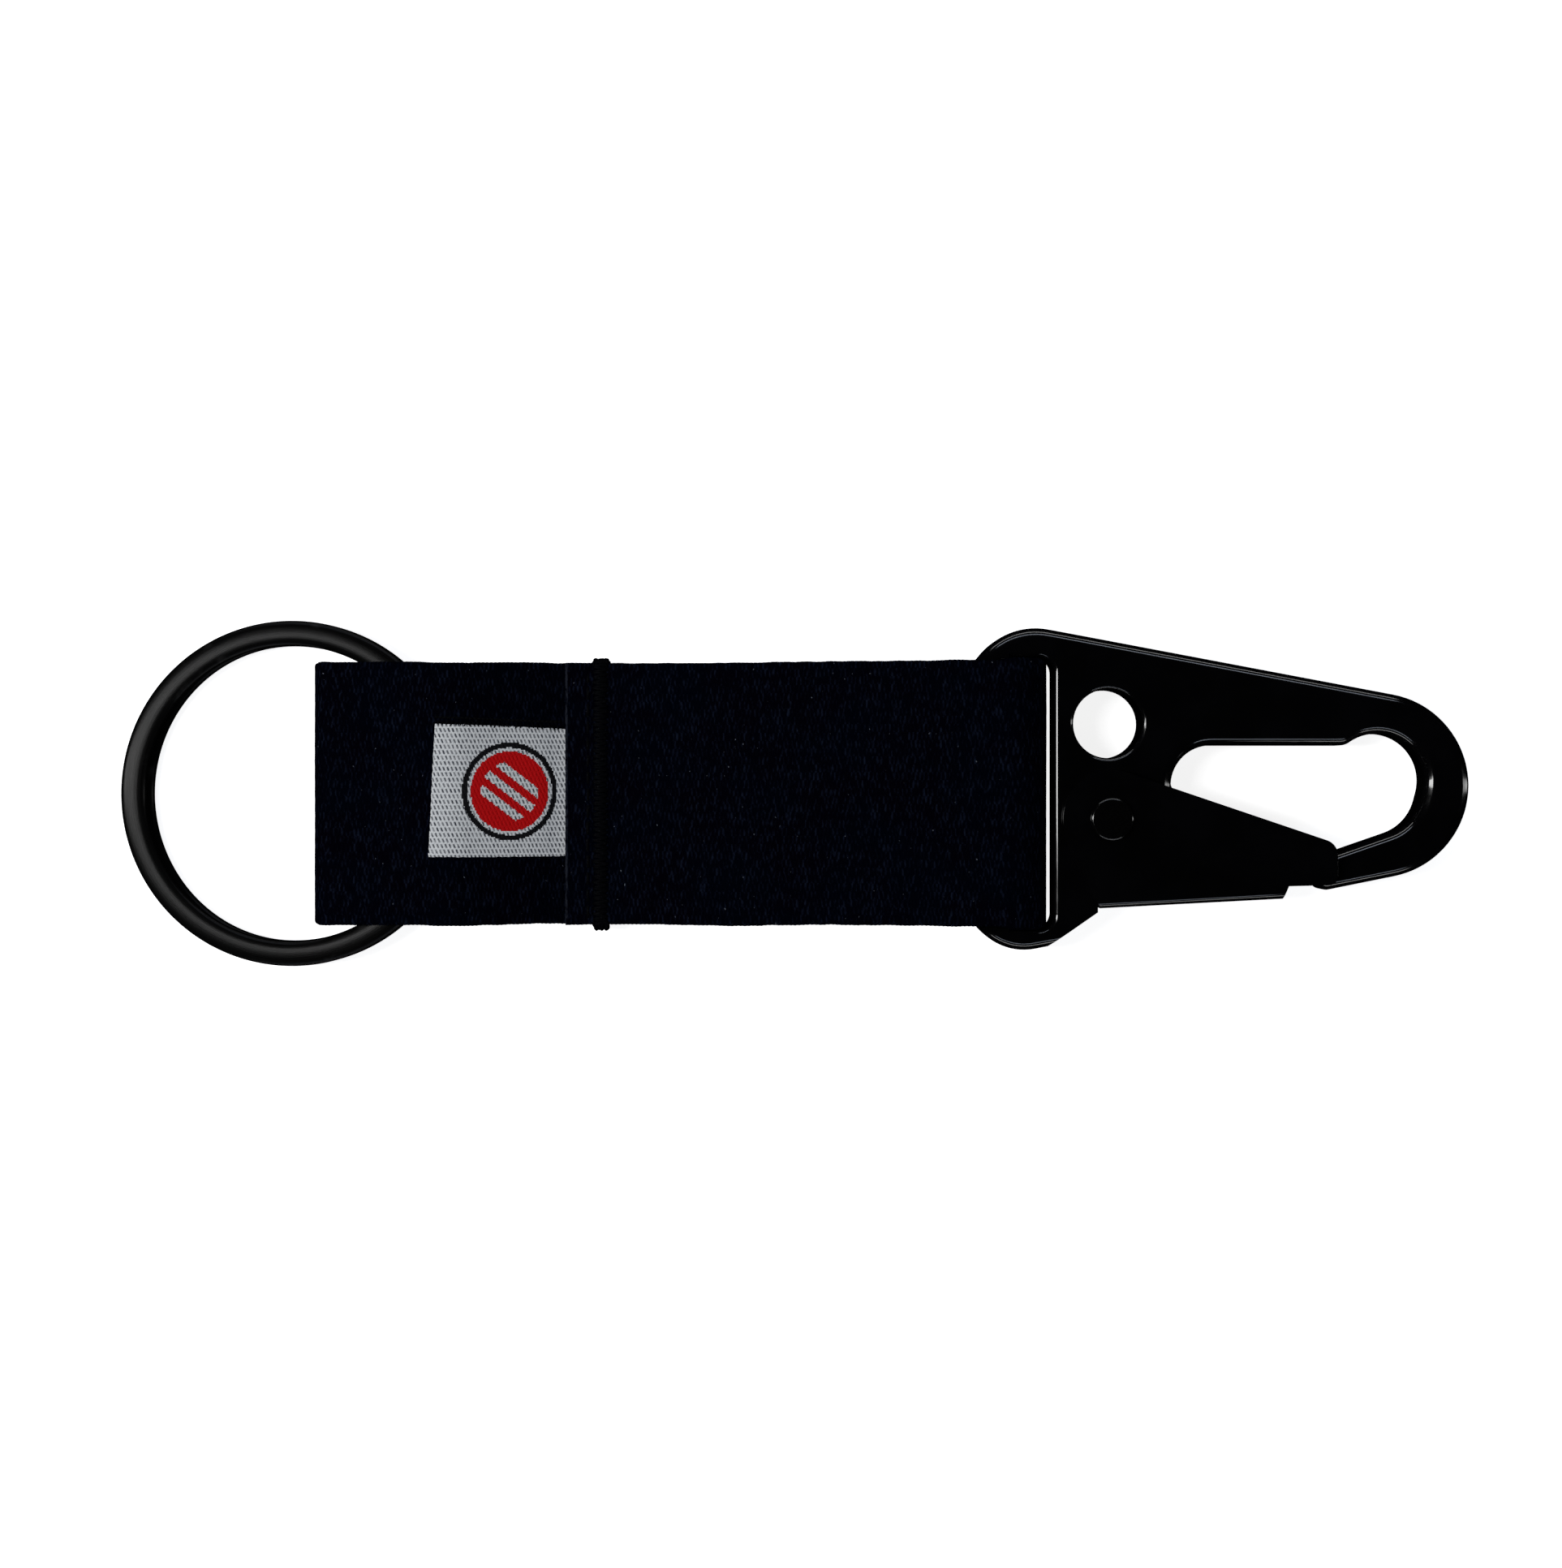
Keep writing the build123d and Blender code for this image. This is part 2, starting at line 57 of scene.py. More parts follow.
joints = {joint["name"]: joint for joint in frame["joints"]}
strap_low, strap_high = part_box("strap_webbing")
label_low, label_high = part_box("woven_label")
tack_low, tack_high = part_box("bartack_stitches")

# ---------------------------------------------------------------- driving values
# Webbing: the strip's middle line in X and Z, from its front end round the hook's bar, back
# along the floor, round the split ring and in under its own front end. Millimetres.
STRAP_ROUTE = [
    (-21.4, 3.5),
    (-16.0, 3.5),
    (23.7, 8.05),
    (23.7, 0.6),
    (-44.8, 0.6),
    (-44.8, 4.48),
    (-32.0, 5.6),
    (-22.2, 1.9),
    (-16.4, 1.9),
]
STRAP_BENDS = [12.0, 3.4, 3.4, 1.9, 1.9, 6.0, 6.0]
STRAP_WIDTH = 25.0
STRAP_THICK = 1.2
SELVEDGE_DRIFT = (0.10, 0.03)  # slow and quick wander of each edge
SLOT_SPREAD = 0.3  # how far each edge spreads in the hook's slot
SLOT_SPREAD_X = (19.6, 20.8)
RIB_PITCH = 0.4  # length of one pick along the strip
RIB_STEPS = 3
WARP_PITCH = 0.75  # width of one warp float across the strip
WEAVE_DEPTH = 0.05
EDGE_ROUND = 0.42

# Label
LABEL_ROUTE = [(-33.6, 6.23), (-31.89, 6.38), (-22.06, 2.67), (-19.3, 2.67)]
LABEL_BENDS = [6.77, 5.23]
LABEL_THICK = 0.26
LABEL_Y = (-6.0, 6.6)
LABEL_TOP_FALL = 0.5  # how far the upper edge comes down from left to right
LABEL_SKEW = (-0.5, 0.1)  # the left edge's place at its lower and upper ends
MARK_CENTRE = (-27.1, 0.2)
MARK_RED_R = 3.8
MARK_LINE_R = (4.15, 4.65)
MARK_CELL = 0.14

# Split ring
WIRE_WIDTH = 2.4
WIRE_HEIGHT = 1.18
TURN_PITCH = 1.22
WIRE_SIDES = 28
WIRE_SQUARENESS = 0.72  # 1 is an ellipse, and 0 a rectangle
WIRE_R = 15.3
RING_START = -350.5
RING_CLIMB = (-24.0, 8.0)
RING_END = 334.5
LOWER_TURN_SHIFT = 0.45

# Seam
SEAM_THREAD_R = 0.17
SEAM_REACH = 12.45
SEAM_PITCH = 0.25

# Soft edges on the gate and rivet
SOFT_EDGE = 0.12
SOFT_EDGE_ANGLE = 50

# Camera and floor
FLOOR_REACH = 1.4  # metres from the middle to each side
CAMERA_PLACE = (-0.88 * MM, 0.90 * MM, 250 * MM)
CAMERA_LENS = 59.4
FLOOR_DROP = 0.1


# ---------------------------------------------------------------- mesh helpers
def mesh_piece(name, points, faces, body, smooth=True):
    """A mesh object from points in millimetres, riding on a CAD body."""
    mesh = bpy.data.meshes.new(name)
    mesh.from_pydata([tuple(float(v) * MM for v in point) for point in points], [], faces)
    mesh.update()
    mesh.polygons.foreach_set("use_smooth", [smooth] * len(mesh.polygons))
    piece = bpy.data.objects.new(name, mesh)
    bpy.context.scene.collection.objects.link(piece)
    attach(piece, body)
    return piece


def tube_grid(rows, columns):
    """Faces of a grid of points whose columns close on themselves."""
    faces = []
    for i in range(rows - 1):
        here, there = i * columns, (i + 1) * columns
        for j in range(columns):
            k = (j + 1) % columns
            faces.append((here + j, there + j, there + k, here + k))
    return faces


def set_attribute(piece, name, values):
    """A named vector on each of the piece's points."""
    attribute = piece.data.attributes.new(name, "FLOAT_VECTOR", "POINT")
    attribute.data.foreach_set("vector", np.asarray(values, np.float32).ravel())


def walk_route(corners, bends, step):
    """Evenly spaced (point, direction) pairs along straight runs joined by tangent arcs."""
    pieces = []
    here = Vector(corners[0])
    for k in range(1, len(corners) - 1):
        corner = Vector(corners[k])
        before = (corner - Vector(corners[k - 1])).normalized()
        after = (Vector(corners[k + 1]) - corner).normalized()
        turn = math.atan2(before.x * after.y - before.y * after.x, before.dot(after))
        radius = bends[k - 1]
        cut = radius * math.tan(abs(turn) / 2)
        pieces.append(("run", here, before, (corner - before * cut - here).length))
        here = corner - before * cut
        side = math.copysign(1, turn)
        centre = here + Vector((-before.y, before.x)) * radius * side
        pieces.append(("arc", centre, here - centre, radius * abs(turn), side, before, radius))
        here = corner + after * cut
    last = Vector(corners[-1])
    pieces.append(("run", here, (last - here).normalized(), (last - here).length))
    total = sum(piece[3] for piece in pieces)
    count = round(total / step)
    found = []
    for i in range(count + 1):
        left = total * i / count
        for piece in pieces:
            if left <= piece[3] or piece is pieces[-1]:
                break
            left -= piece[3]
        if piece[0] == "run":
            found.append((piece[1] + piece[2] * left, piece[2]))
        else:
            angle = piece[4] * left / piece[6]
            turned = rotated(piece[2], angle)
            found.append((piece[1] + turned, rotated(piece[5], angle)))
    return found, total


def rotated(vector, angle):
    """A plane vector turned by this angle."""
    c, s = math.cos(angle), math.sin(angle)
    return Vector((vector.x * c - vector.y * s, vector.x * s + vector.y * c))


def soft_noise(count, reach, rng):
    """A smooth random line of this many steps, from -1 to 1."""
    knots = max(4, int(count / reach) + 2)
    values = rng.uniform(-1, 1, knots)
    return np.interp(np.linspace(0, knots - 1, count), np.arange(knots), values)


def soft_field(rows, columns, row_reach, column_reach, rng):
    """A smooth random field, from -1 to 1."""
    knots = (max(4, int(rows / row_reach) + 2), max(4, int(columns / column_reach) + 2))
    values = rng.uniform(-1, 1, knots)
    across = np.array(
        [np.interp(np.linspace(0, knots[1] - 1, columns), np.arange(knots[1]), v) for v in values]
    )
    along = np.linspace(0, knots[0] - 1, rows)
    return np.array([np.interp(along, np.arange(knots[0]), column) for column in across.T]).T


def thread_tube(path, radius, sides=8):
    """Points and faces of a round thread along a list of points, with rounded ends."""
    path = [Vector(point) for point in path]
    points = []
    up = Vector((0.13, 0.21, 0.97)).normalized()
    for i, place in enumerate(path):
        ahead = path[min(i + 1, len(path) - 1)] - path[max(i - 1, 0)]
        ahead.normalize()
        side = ahead.cross(up).normalized()
        rise = side.cross(ahead)
        size = radius * (0.45 if i in (0, len(path) - 1) else 1)
        for k in range(sides):
            angle = 2 * math.pi * k / sides
            points.append(place + side * (size * math.cos(angle)) + rise * (size * math.sin(angle)))
    faces = tube_grid(len(path), sides)
    faces.append(tuple(range(sides)))
    end = (len(path) - 1) * sides
    faces.append(tuple(end + k for k in reversed(range(sides))))
    return points, faces


def joined_tubes(paths, radius, sides=8):
    """One mesh of several threads."""
    points, faces = [], []
    for path in paths:
        more_points, more_faces = thread_tube(path, radius, sides)
        start = len(points)
        points += more_points
        faces += [tuple(start + index for index in face) for face in more_faces]
    return points, faces


# ---------------------------------------------------------------- material helper
class Shade:
    """One node material, with short calls that add a node and link what it takes."""

    def __init__(self, name):
        self.material = bpy.data.materials.new(name)
        self.material.use_nodes = True
        self.tree = self.material.node_tree
        self.shader = self.tree.nodes["Principled BSDF"]

    def put(self, socket, value):
        """Links an output to a socket, or sets the socket to a number or colour."""
        if isinstance(value, bpy.types.NodeSocket):
            self.tree.links.new(value, socket)
        else:
            socket.default_value = value

    def set(self, **values):
        """Sets or links the shader's sockets: base_color becomes Base Color."""
        for name, value in values.items():
            self.put(self.shader.inputs[name.replace("_", " ").title()], value)

    def sum(self, operation, *values):
        """One Math node, such as ADD or MULTIPLY."""
        node = self.tree.nodes.new("ShaderNodeMath")
        node.operation = operation
        for socket, value in zip(node.inputs, values):
            self.put(socket, value)
        return node.outputs[0]

    def place(self):
        """The piece's own coordinates, in metres."""
        return self.tree.nodes.new("ShaderNodeTexCoord").outputs["Object"]

    def attribute(self, name):
        """The three numbers of a named attribute."""
        node = self.tree.nodes.new("ShaderNodeAttribute")
        node.attribute_name = name
        split = self.tree.nodes.new("ShaderNodeSeparateXYZ")
        self.put(split.inputs[0], node.outputs["Vector"])
        return node.outputs["Vector"], *split.outputs

    def stretched(self, vector, scale):
        """The vector with each axis times its own scale."""
        node = self.tree.nodes.new("ShaderNodeVectorMath")
        node.operation = "MULTIPLY"
        self.put(node.inputs[0], vector)
        node.inputs[1].default_value = scale
        return node.outputs[0]

    def noise(self, vector, scale, detail=3.0, roughness=0.55):
        """Noise from 0 to 1, with its scale in lumps per metre."""
        node = self.tree.nodes.new("ShaderNodeTexNoise")
        self.put(node.inputs["Vector"], vector)
        node.inputs["Scale"].default_value = scale
        node.inputs["Detail"].default_value = detail
        node.inputs["Roughness"].default_value = roughness
        return node.outputs["Fac"]

    def ramp(self, value, low, high, low_out=0.0, high_out=1.0):
        """The value moved smoothly from one range to another, and clamped."""
        node = self.tree.nodes.new("ShaderNodeMapRange")
        node.interpolation_type = "SMOOTHSTEP"
        self.put(node.inputs["Value"], value)
        for name, number in zip(
            ("From Min", "From Max", "To Min", "To Max"), (low, high, low_out, high_out)
        ):
            node.inputs[name].default_value = number
        return node.outputs["Result"]

    def mix(self, share, first, second):
        """A colour between two colours."""
        node = self.tree.nodes.new("ShaderNodeMix")
        node.data_type = "RGBA"
        share_in = next(s for s in node.inputs if s.identifier == "Factor_Float")
        first_in = next(s for s in node.inputs if s.identifier == "A_Color")
        second_in = next(s for s in node.inputs if s.identifier == "B_Color")
        self.put(share_in, share)
        self.put(first_in, first)
        self.put(second_in, second)
        return next(s for s in node.outputs if s.identifier == "Result_Color")

    def bump(self, height, distance, strength=1.0, under=None):
        """A normal from a height of 0 to 1, as tall as distance in metres."""
        node = self.tree.nodes.new("ShaderNodeBump")
        node.inputs["Strength"].default_value = strength
        node.inputs["Distance"].default_value = distance
        self.put(node.inputs["Height"], height)
        if under is not None:
            self.put(node.inputs["Normal"], under)
        return node.outputs["Normal"]


def grey(value, blue=1.0):
    """A neutral colour, with its blue raised by this factor."""
    return (value, value, value * blue, 1.0)


# ---------------------------------------------------------------- materials
def webbing_material():
    """Navy-black polyester: short picks across the strip, fine fibres, a few bright specks, and a
    painted highlight along the front cut end.
    """
    shade = Shade("navy_webbing")
    strip, along, across, _ = shade.attribute("strip")
    column = shade.sum("FLOOR", shade.sum("DIVIDE", across, WARP_PITCH))
    phase = shade.sum("MULTIPLY", shade.sum("MODULO", column, 2.0), 0.5)
    turn = shade.sum("ADD", shade.sum("DIVIDE", along, RIB_PITCH), phase)
    wave = shade.sum("COSINE", shade.sum("MULTIPLY", turn, 2 * math.pi))
    pick = shade.ramp(wave, -1.0, 1.0)
    streak = shade.noise(shade.stretched(strip, (3.6, 1.3, 3.6)), 1.0, 3.0, 0.65)
    tuft = shade.noise(shade.stretched(strip, (1.1, 0.7, 1.1)), 1.0, 2.0)
    fibre = shade.noise(shade.stretched(strip, (5.0, 16.0, 5.0)), 1.0, 2.0)
    patch = shade.noise(shade.stretched(strip, (0.16, 0.22, 0.16)), 1.0, 2.0)
    speck = shade.noise(shade.stretched(strip, (2.9, 2.3, 2.9)), 1.0, 1.0)

    deep = shade.mix(
        shade.ramp(patch, 0.35, 0.65), (0.0002, 0.0006, 0.0026, 1), (0.0005, 0.0003, 0.0019, 1)
    )
    mottle = shade.sum("ADD", shade.sum("MULTIPLY", pick, 0.16), shade.sum("MULTIPLY", tuft, 0.3))
    light = shade.ramp(shade.sum("ADD", streak, mottle), 0.72, 1.08)
    woven = shade.mix(light, deep, (0.0062, 0.0090, 0.0190, 1))
    dusty = shade.mix(shade.ramp(speck, 0.76, 0.82), woven, (0.08, 0.09, 0.11, 1))
    # Painted highlight: a lighter colour in streaks along the front cut end stands in for the shine
    # of its heat-sealed edge.
    cut_end = shade.ramp(along, 0.12, 0.32, 1.0, 0.0)
    painted_end_highlight = shade.sum("MULTIPLY", cut_end, shade.ramp(streak, 0.35, 0.6))
    shade.set(base_color=shade.mix(painted_end_highlight, dusty, (0.014, 0.016, 0.023, 1)))
    shade.set(roughness=shade.ramp(fibre, 0.3, 0.7, 0.66, 0.9))
    shade.shader.inputs["Specular IOR Level"].default_value = 0.004
    weave = shade.bump(pick, 0.03 * MM, 0.8)
    shade.set(normal=shade.bump(fibre, 0.012 * MM, 0.8, weave))
    return shade.material


def thread_material(name, base):
    """Twisted polyester thread: slanted plies with a dull sheen."""
    shade = Shade(name)
    place = shade.place()
    ply = shade.noise(shade.stretched(place, (9000.0, 3500.0, 3500.0)), 1.0, 2.0)
    fuzz = shade.noise(shade.stretched(place, (1.0, 1.0, 1.0)), 21000.0, 2.0)
    shade.set(base_color=shade.mix(shade.ramp(ply, 0.62, 0.80), base, (0.012, 0.013, 0.016, 1)))
    shade.set(roughness=shade.ramp(fuzz, 0.3, 0.7, 0.42, 0.62))
    shade.shader.inputs["Specular IOR Level"].default_value = 0.02
    shade.set(normal=shade.bump(ply, 0.02 * MM))
    return shade.material


def label_material():
    """Off-white twill with dark flecks, and a woven mark: a red disc with three white bars."""
    shade = Shade("label_twill")
    cloth, along, across, side = shade.attribute("cloth")
    row_pitch, fleck_pitch = 0.52, 0.38
    row = shade.sum("DIVIDE", across, row_pitch)
    level = shade.sum("FLOOR", row)
    rise = shade.sum("FRACT", row)
    lean = shade.sum("ADD", shade.sum("MULTIPLY", rise, 0.5), shade.sum("MULTIPLY", level, 0.68))
    turn = shade.sum("ADD", shade.sum("DIVIDE", along, fleck_pitch), lean)
    beat = shade.sum("ABSOLUTE", shade.sum("SUBTRACT", shade.sum("FRACT", turn), 0.5))
    middle = shade.sum("ABSOLUTE", shade.sum("SUBTRACT", rise, 0.5))
    hole = shade.sum(
        "MULTIPLY", shade.ramp(beat, 0.13, 0.30, 1.0, 0.0), shade.ramp(middle, 0.24, 0.48, 1.0, 0.0)
    )
    uneven = shade.noise(shade.stretched(cloth, (2.2, 1.6, 1.0)), 1.0, 3.0)
    fleck = shade.sum("MULTIPLY", hole, shade.ramp(uneven, 0.3, 0.62, 0.5, 1.0))
    fibre = shade.noise(shade.stretched(cloth, (22.0, 5.0, 1.0)), 1.0, 3.0)
    white = shade.mix(shade.ramp(fibre, 0.3, 0.75), (0.50, 0.52, 0.54, 1), (0.86, 0.87, 0.88, 1))
    ground = shade.mix(fleck, white, (0.05, 0.055, 0.07, 1))

    # The mark is drawn in small cells, as a loom draws it, and only on the label's face.
    def cell(value, middle_at):
        steps = shade.sum("ROUND", shade.sum("DIVIDE", value, MARK_CELL))
        return shade.sum("SUBTRACT", shade.sum("MULTIPLY", steps, MARK_CELL), middle_at)

    x = cell(along, MARK_CENTRE[0] - LABEL_ROUTE[0][0] + 0.75)
    y = cell(across, MARK_CENTRE[1])
    distance = shade.sum(
        "SQRT", shade.sum("ADD", shade.sum("MULTIPLY", x, x), shade.sum("MULTIPLY", y, y))
    )
    slope = 0.6
    across_bars = shade.sum("ADD", shade.sum("MULTIPLY", x, slope), shade.sum("MULTIPLY", y, 0.8))
    bar_turn = shade.sum("FRACT", shade.sum("ADD", shade.sum("DIVIDE", across_bars, 1.5), 0.5))
    bar = shade.sum("LESS_THAN", shade.sum("ABSOLUTE", shade.sum("SUBTRACT", bar_turn, 0.5)), 0.26)
    near = shade.sum("LESS_THAN", shade.sum("ABSOLUTE", across_bars), 1.95)
    within = shade.sum("MULTIPLY", shade.sum("LESS_THAN", distance, 2.8), near)
    bars = shade.sum("MULTIPLY", bar, within)
    disc = shade.sum("LESS_THAN", distance, MARK_RED_R)
    ring = shade.sum(
        "MULTIPLY",
        shade.sum("GREATER_THAN", distance, MARK_LINE_R[0]),
        shade.sum("LESS_THAN", distance, MARK_LINE_R[1]),
    )
    face = shade.sum("GREATER_THAN", side, 0.5)
    thread = shade.ramp(fibre, 0.25, 0.8)
    red = shade.mix(thread, (0.40, 0.001, 0.002, 1), (0.62, 0.003, 0.005, 1))
    black = shade.mix(thread, (0.002, 0.002, 0.003, 1), (0.006, 0.006, 0.008, 1))
    red_share = shade.sum(
        "MULTIPLY", shade.sum("MULTIPLY", disc, face), shade.sum("SUBTRACT", 1.0, bars)
    )
    coloured = shade.mix(red_share, ground, red)
    shade.set(base_color=shade.mix(shade.sum("MULTIPLY", ring, face), coloured, black))
    shade.set(roughness=shade.ramp(fibre, 0.3, 0.7, 0.6, 0.8))
    shade.shader.inputs["Specular IOR Level"].default_value = 0.1
    raised = shade.sum("SUBTRACT", shade.sum("MULTIPLY", fibre, 0.4), hole)
    shade.set(normal=shade.bump(raised, 0.035 * MM))
    return shade.material


def coated_steel(name, base, gloss, peel, wear):
    """Black coat on steel: orange peel, faint handling marks, and bare metal on worn edges."""
    shade = Shade(name)
    place = shade.place()
    cloud = shade.noise(place, 220.0, 4.0)
    lumps = shade.noise(place, 1400.0, 2.0)
    fine = shade.noise(place, 9000.0, 3.0)
    scuff = shade.noise(shade.stretched(place, (500.0, 5200.0, 1500.0)), 1.0, 4.0, 0.7)
    facing = shade.tree.nodes.new("ShaderNodeSeparateXYZ")
    shade.put(facing.inputs[0], shade.tree.nodes.new("ShaderNodeTexCoord").outputs["Normal"])
    tilt = shade.sum("ABSOLUTE", facing.outputs[2])
    edge = shade.sum(
        "MULTIPLY", shade.ramp(tilt, 0.25, 0.45), shade.ramp(tilt, 0.75, 0.95, 1.0, 0.0)
    )
    worn = shade.sum("MULTIPLY", edge, shade.ramp(fine, 0.60, 0.78, 0.0, wear))
    tone = shade.mix(shade.ramp(cloud, 0.3, 0.7), grey(base * 0.8, 1.15), grey(base * 1.2, 1.3))
    shade.set(base_color=shade.mix(worn, tone, grey(0.16, 1.02)))
    marks = shade.ramp(scuff, 0.62, 0.80, 0.0, 0.05)
    rough = shade.sum("ADD", shade.ramp(cloud, 0.3, 0.7, gloss - 0.03, gloss + 0.03), marks)
    shade.set(roughness=rough)
    shade.shader.inputs["Specular IOR Level"].default_value = 0.5
    coarse = shade.bump(lumps, peel * MM, 0.7)
    shade.set(normal=shade.bump(fine, 0.0004 * MM, 0.4, coarse))
    return shade.material


def ring_material():
    """Satin black wire with fine draw lines along its length and rubbed shoulders."""
    shade = Shade("ring_coat")
    wire, _, _, corner = shade.attribute("wire")
    lines = shade.noise(shade.stretched(wire, (0.12, 7.0, 1.0)), 1.0, 4.0, 0.65)
    place = shade.place()
    cloud = shade.noise(place, 260.0, 3.0)
    fine = shade.noise(place, 8000.0, 2.0)
    rubbed = shade.sum(
        "MULTIPLY", shade.ramp(corner, 0.6, 1.0), shade.ramp(cloud, 0.56, 0.74, 0.0, 0.22)
    )
    tone = shade.mix(shade.ramp(lines, 0.3, 0.7), grey(0.0012), grey(0.0035))
    shade.set(base_color=shade.mix(rubbed, tone, grey(0.09)))
    shade.set(roughness=shade.ramp(lines, 0.25, 0.75, 0.19, 0.29))
    shade.shader.inputs["Specular IOR Level"].default_value = 0.07
    drawn = shade.bump(lines, 0.004 * MM, 0.7)
    shade.set(normal=shade.bump(fine, 0.002 * MM, 0.5, drawn))
    return shade.material


def rivet_material():
    """Black coat over a head turned on a lathe."""
    shade = Shade("rivet_coat")
    place = shade.place()
    split = shade.tree.nodes.new("ShaderNodeSeparateXYZ")
    shade.put(split.inputs[0], place)
    pivot = joints["gate_pivot"]["pos_m"]
    x = shade.sum("SUBTRACT", split.outputs[0], pivot[0])
    y = shade.sum("SUBTRACT", split.outputs[1], pivot[1])
    radius = shade.sum(
        "SQRT", shade.sum("ADD", shade.sum("MULTIPLY", x, x), shade.sum("MULTIPLY", y, y))
    )
    rings = shade.sum("SINE", shade.sum("MULTIPLY", radius, 42000.0))
    fine = shade.noise(place, 7000.0, 3.0)
    shade.set(base_color=shade.mix(shade.ramp(fine, 0.4, 0.75), grey(0.0008, 1.1), grey(0.002)))
    shade.set(roughness=shade.ramp(fine, 0.3, 0.7, 0.11, 0.16))
    turned = shade.bump(shade.ramp(rings, -1.0, 1.0), 0.0006 * MM, 0.3)
    shade.set(normal=shade.bump(fine, 0.0003 * MM, 0.4, turned))
    return shade.material


def spring_material():
    """Bare drawn spring wire with fine lines and a little oil stain."""
    shade = Shade("spring_wire")
    place = shade.place()
    lines = shade.noise(shade.stretched(place, (900.0, 900.0, 9000.0)), 1.0, 3.0)
    stain = shade.noise(place, 500.0, 3.0)
    shade.set(base_color=shade.mix(shade.ramp(stain, 0.4, 0.7), grey(0.36), (0.20, 0.185, 0.17, 1)))
    shade.set(roughness=shade.ramp(lines, 0.3, 0.7, 0.22, 0.42))
    shade.shader.inputs["Metallic"].default_value = 1.0
    shade.set(normal=shade.bump(lines, 0.003 * MM))
    return shade.material


def floor_material():
    """A light table's matte white top, lit from below, with a faint grain."""
    shade = Shade("light_table_top")
    place = shade.place()
    grain = shade.noise(place, 900.0, 4.0)
    cloud = shade.noise(place, 9.0, 2.0)
    shade.set(base_color=shade.mix(cloud, (0.93, 0.93, 0.93, 1), (0.955, 0.955, 0.955, 1)))
    shade.set(roughness=shade.ramp(grain, 0.3, 0.7, 0.8, 0.95))
    shade.shader.inputs["Specular IOR Level"].default_value = 0.15
    shade.shader.inputs["Emission Color"].default_value = (1, 1, 1, 1)
    shade.shader.inputs["Emission Strength"].default_value = 0.85
    shade.set(normal=shade.bump(grain, 0.01 * MM, 0.4))
    return shade.material


# ---------------------------------------------------------------- webbing
def strip_profile():
    """The strip's cross-section: (across, up, out_across, out_up, float number), once round."""
    half_wide = STRAP_WIDTH / 2 - EDGE_ROUND
    half_thick = STRAP_THICK / 2
    floats = round(2 * half_wide / WARP_PITCH)
    across = [half_wide * (2 * j / floats - 1) for j in range(floats + 1)]
    top = [(y, half_thick, 0.0, 1.0, j) for j, y in enumerate(across)]
    bottom = [(y, -half_thick, 0.0, -1.0, j) for j, y in enumerate(across)][::-1]
    edges = []
    for side in (1, -1):
        turns = [math.radians(angle) for angle in (62, 22, -22, -62)]
        edge = [
            (
                side * (half_wide + EDGE_ROUND * math.cos(a)),
                side * half_thick * math.sin(a),
                side * math.cos(a),
                side * math.sin(a),
                k,
            )
            for k, a in enumerate(turns)
        ]
        edges.append(edge)
    return top + edges[0] + bottom + edges[1]


def make_strap():
    """One woven strip on its route, with picks, uneven selvedges and sealed ends."""
    rng = np.random.RandomState(SEED)
    walk, total = walk_route(STRAP_ROUTE, STRAP_BENDS, RIB_PITCH / RIB_STEPS)
    profile = strip_profile()
    rows, columns = len(walk), len(profile)
    swell = soft_field(rows, columns, 22, 7, rng)
    strength = 0.75 + 0.25 * soft_field(rows, columns, 9, 3, rng)
    slow, quick = SELVEDGE_DRIFT
    left_edge = soft_noise(rows, 60, rng) * slow + soft_noise(rows, 5, rng) * quick
    right_edge = soft_noise(rows, 60, rng) * slow + soft_noise(rows, 5, rng) * quick
    points, strip = [], []
    for i, (place, ahead) in enumerate(walk):
        along = total * i / (rows - 1)
        out = Vector((-ahead.y, ahead.x))
        to_end = min(along, total - along)
        bead = 1 + 0.10 * math.exp(-((to_end - 0.35) / 0.25) ** 2)
        if to_end < 0.01:
            bead = 0.72
        woven = min(1.0, to_end / 0.8)
        low, high = SLOT_SPREAD_X
        spread = min(1.0, max(0.0, (place.x - low) / (high - low)))
        for j, (across, up, out_across, out_up, number) in enumerate(profile):
            turn = i / RIB_STEPS + (number % 2) / 2
            lift = WEAVE_DEPTH / 2 * math.cos(2 * math.pi * turn) * strength[i, j] * woven
            lift += 0.035 * swell[i, j]
            drift = right_edge[i] if across > 0 else left_edge[i]
            drift = drift * (1 - spread) + math.copysign(SLOT_SPREAD, across) * spread
            y = across + drift * abs(across) / (STRAP_WIDTH / 2) + out_across * lift
            z = up * bead + out_up * lift
            points.append((place.x + out.x * z, y, place.y + out.y * z))
            side = 1.0 if up > 0 else -1.0
            strip.append((along, across + STRAP_WIDTH, side))
    faces = tube_grid(rows, columns)
    faces += end_cap(0, profile, False) + end_cap((rows - 1) * columns, profile, True)
    piece = mesh_piece("webbing_strip", points, faces, "strap")
    set_attribute(piece, "strip", strip)
    piece.data.materials.append(webbing_material())
    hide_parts("strap_webbing")
    return piece


def end_cap(start, profile, flip):
    """Quads that close the strip's cut end, between its upper and lower points."""
    count = len(profile)
    ring = [start + (k - 2) % count for k in range(count)]
    faces = []
    for k in range(count // 2 - 1):
        face = (ring[k], ring[k + 1], ring[count - 2 - k], ring[count - 1 - k])
        faces.append(face[::-1] if flip else face)
    return faces


